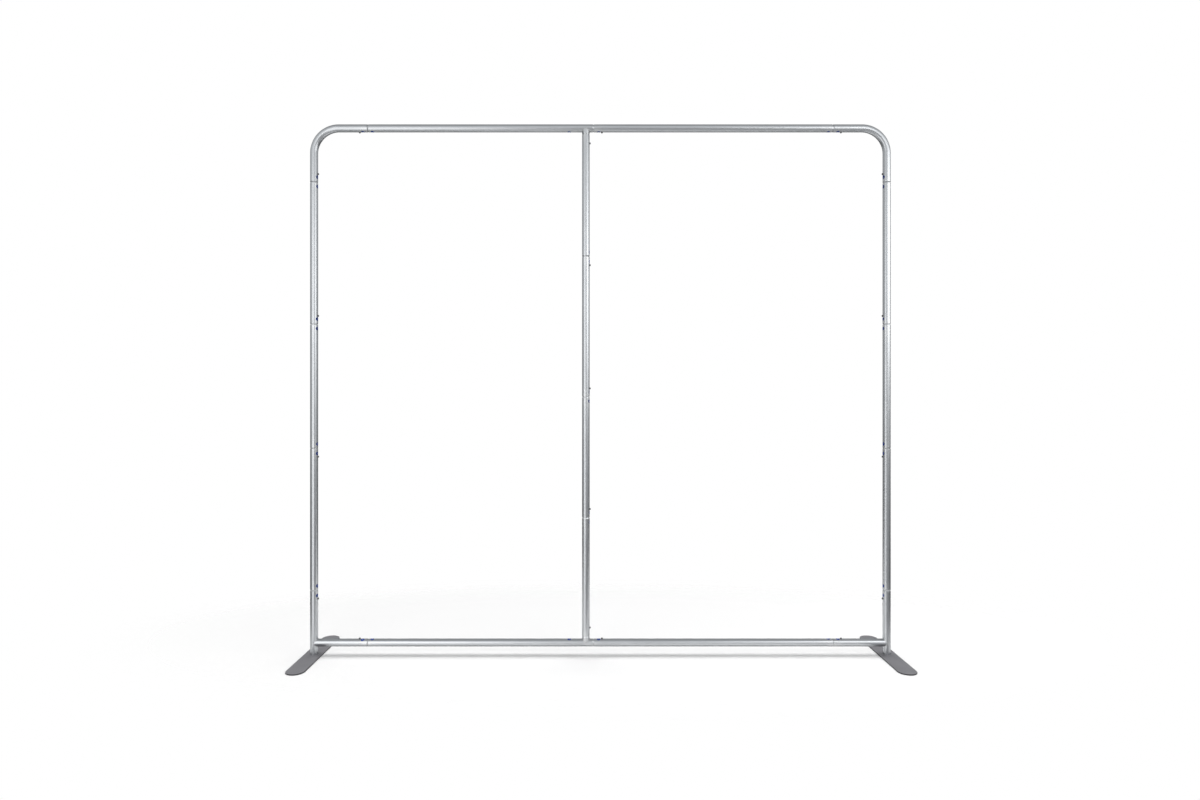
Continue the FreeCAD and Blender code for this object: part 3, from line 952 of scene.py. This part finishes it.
def printed_number(number):
    """Plain figures as a flat mesh, centred, cut into strips fine enough to follow the tube, and bent."""
    curve = bpy.data.curves.new("figures", "FONT")
    curve.body = str(number)
    curve.size = ink_height
    curve.align_x = "CENTER"
    curve.align_y = "CENTER"
    curve.resolution_u = 4
    curve.offset = ink_spread
    writing = bpy.data.objects.new("figures", curve)
    bpy.context.scene.collection.objects.link(writing)
    bpy.context.view_layer.update()
    mesh = bpy.data.meshes.new_from_object(writing.evaluated_get(bpy.context.evaluated_depsgraph_get()))
    strips = bmesh.new()
    strips.from_mesh(mesh)
    for height in np.arange(-ink_height, ink_height, ink_strip):
        pieces = [*strips.verts, *strips.edges, *strips.faces]
        bmesh.ops.bisect_plane(strips, geom=pieces, plane_co=(0, height, 0), plane_no=(0, 1, 0))
    strips.to_mesh(mesh)
    strips.free()
    flat = np.empty(len(mesh.vertices) * 3)
    mesh.vertices.foreach_get("co", flat)
    faces = [list(face.vertices) for face in mesh.polygons]
    bpy.data.objects.remove(writing)
    bpy.data.curves.remove(curve)
    bpy.data.meshes.remove(mesh)
    flat = flat.reshape(-1, 3)[:, :2]
    flat -= (flat.max(0) + flat.min(0)) / 2
    return wrapped(flat, label_thickness + ink_lift), faces


disc_points, disc_faces = label_disc()
labels = []
figures = []
number = 0
for joint in plug_joints:
    if joint.button in ("centre_button_1", "centre_button_5"):
        continue
    number += 1
    beside_tee = joint.button in ("bottom_button_2", "top_button_2")
    back = tee_joint_x - tee_x + label_from_tee if beside_tee else label_from_joint
    number_points, number_faces = printed_number(number)
    for distance, turn in zip((label_from_joint, -back), np.radians(joint.label_turns)):
        spot = joint.point + joint.into * distance
        side = np.cos(turn) * joint.facing - np.sin(turn) * to_the_back
        labels.append((stand(disc_points, spot, joint.into, side), disc_faces))
        reading = across if abs(joint.into[0]) > 0.5 else up
        figures.append((stand(number_points, spot, reading, side), number_faces))
add_piece("number_label_set", *gathered(labels), blue_vinyl, "frame", ["number_labels"], "label_vinyl")
add_piece("label_figures", *gathered(figures), white_ink, "frame", [], "label_vinyl")

# Studio floor: a plain pale sheet, lit by the lamps, that keeps the frame's soft shadows.
# Away from the frame it thins out to nothing, so that it runs into the white of the backdrop.
floor_middle = (0, 0.3, -0.0002)
floor_reach = (2.4, 0.95, 1)
floor_grey = 0.95
thins_from = 0.55
gone_at = 0.99
floor_mesh = bpy.data.meshes.new("studio_floor")
corner_signs = np.array([[-1, -1, 0], [1, -1, 0], [1, 1, 0], [-1, 1, 0]])
corners = corner_signs * floor_reach + floor_middle
floor_mesh.from_pydata(corners.tolist(), [], [[0, 1, 2, 3]])
floor = bpy.data.objects.new("studio_floor", floor_mesh)
bpy.context.scene.collection.objects.link(floor)
pale_floor, node = start_finish("pale_floor")
place = node("ShaderNodeTexCoord").outputs["Object"]
reach = {"Vector": place, "Location": floor_middle, "Scale": floor_reach}
share_of_reach = node("ShaderNodeMapping", {"vector_type": "TEXTURE"}, **reach).outputs["Vector"]
from_middle = node("ShaderNodeVectorMath", {"operation": "LENGTH"}, [share_of_reach]).outputs["Value"]
thinning = {"From_Min": gone_at, "From_Max": thins_from, "Value": from_middle}
cover = node("ShaderNodeMapRange", {"interpolation_type": "SMOOTHSTEP"}, **thinning).outputs["Result"]
node("Principled BSDF", Base_Color=(floor_grey, floor_grey, floor_grey, 1), Alpha=cover)
node("Principled BSDF", Roughness=1.0, Specular_IOR_Level=0.0)
floor_mesh.materials.append(pale_floor)

# Studio light: a bright room, darker over its far floor, shows in the metal; the camera sees plain white.
# A wide glow lights the frame from the ceiling, a tall panel stands in front on the left, and a broad one
# hangs high on the right. The panels draw the highlights along the tubes.
room_stops = [(0.0, 0.55), (0.09, 0.55), (0.14, 0.33), (0.267, 0.55)]
room_stops += [(0.333, 0.68), (0.567, 0.93), (0.733, 0.85), (0.933, 0.58)]
room_colours = [(place, (grey * 0.98, grey, grey * 1.02)) for place, grey in room_stops]
far_floor_stops = [(0.07, 0.0), (0.12, 1.0), (0.2, 1.0), (0.32, 0.0)]
lamp_side = (-0.6, -0.8, 0)
plain_level = 0.14


def carried(node, value, start, end, low=0.0, high=1.0):
    """Value carried from the range start to end into the range low to high, and held there."""
    ends = {"From_Min": start, "From_Max": end, "To_Min": low, "To_Max": high}
    return node("ShaderNodeMapRange", Value=value, **ends).outputs["Result"]


world = bpy.data.worlds.new("studio")
bpy.context.scene.world = world
world.use_nodes = True
node = node_maker(world.node_tree)
rays = node("ShaderNodeLightPath").outputs
direction = node("ShaderNodeTexCoord").outputs["Generated"]
toward = node("ShaderNodeSeparateXYZ", Vector=direction).outputs
height = carried(node, toward["Z"], -0.5, 1.0)
front_share = carried(node, toward["Y"], 1.0, -1.0, low=0.6)
front_left = node("ShaderNodeVectorMath", {"operation": "DOT_PRODUCT"}, (direction, lamp_side))
left_share = carried(node, front_left.outputs["Value"], -0.2, 1.0, high=0.5)
far_floor = ramp(node, height, far_floor_stops)
side_share = node("ShaderNodeMix", Factor=far_floor, A=1.0, B=left_share).outputs["Result"]
room = ramp(node, height, room_colours)
room_share = product(node, front_share, side_share)
seen_room = node("ShaderNodeVectorMath", {"operation": "SCALE"}, Vector=room, Scale=room_share)
mirrored = (rays["Is Glossy Ray"], rays["Is Transmission Ray"])
reflected = node("ShaderNodeMath", {"operation": "MAXIMUM"}, mirrored).outputs[0]
lit = blend(node, (plain_level, plain_level, plain_level, 1), seen_room.outputs["Vector"], reflected)
node("Background", Color=blend(node, lit, (1, 1, 1, 1), rays["Is Camera Ray"]))


def soft_box(name, place, aim, width, height, power):
    """Rectangular lamp at a place, turned to face a point."""
    lamp = bpy.data.lights.new(name, "AREA")
    lamp.shape = "RECTANGLE"
    lamp.size = width
    lamp.size_y = height
    lamp.energy = power
    holder = bpy.data.objects.new(name, lamp)
    holder.visible_camera = False
    bpy.context.scene.collection.objects.link(holder)
    facing = np.array(aim, float) - np.array(place, float)
    holder.location = place
    holder.rotation_euler = (
        np.arctan2(np.hypot(facing[0], facing[1]), -facing[2]),
        0,
        np.arctan2(facing[1], facing[0]) - np.pi / 2,
    )


ceiling_glow = bpy.data.lights.new("ceiling_glow", "SUN")
ceiling_glow.angle = np.radians(56)
ceiling_glow.energy = 2.52
glow_holder = bpy.data.objects.new("ceiling_glow", ceiling_glow)
glow_holder.rotation_euler = (np.radians(-14), 0, 0)
glow_holder.visible_glossy = False
bpy.context.scene.collection.objects.link(glow_holder)
soft_box("left_box", (-1.6, -2.4, 0.8), aim=(-0.4, 0, 0.8), width=1.8, height=3.6, power=28.3)
soft_box("right_panel", (2.7, -1.7, 2.1), aim=(0.9, 0, 1.8), width=3.6, height=1.6, power=33)

# Camera: straight on and level, near the height of the frame's middle and a little left of its centre.
# Its lens and shift put the feet, the rails and the corners where the photograph has them.
camera_data = bpy.data.cameras.new("straight_on")
camera = bpy.data.objects.new("straight_on", camera_data)
bpy.context.scene.collection.objects.link(camera)
camera.location = (-0.05, -3.008, 1.083)
camera.rotation_euler = (np.pi / 2, 0, 0)
camera_data.sensor_width = 36.0
camera_data.lens = 21.465
camera_data.shift_x = 0.0096
camera_data.shift_y = -0.0025
bpy.context.scene.camera = camera
bpy.context.scene.view_settings.view_transform = "Standard"
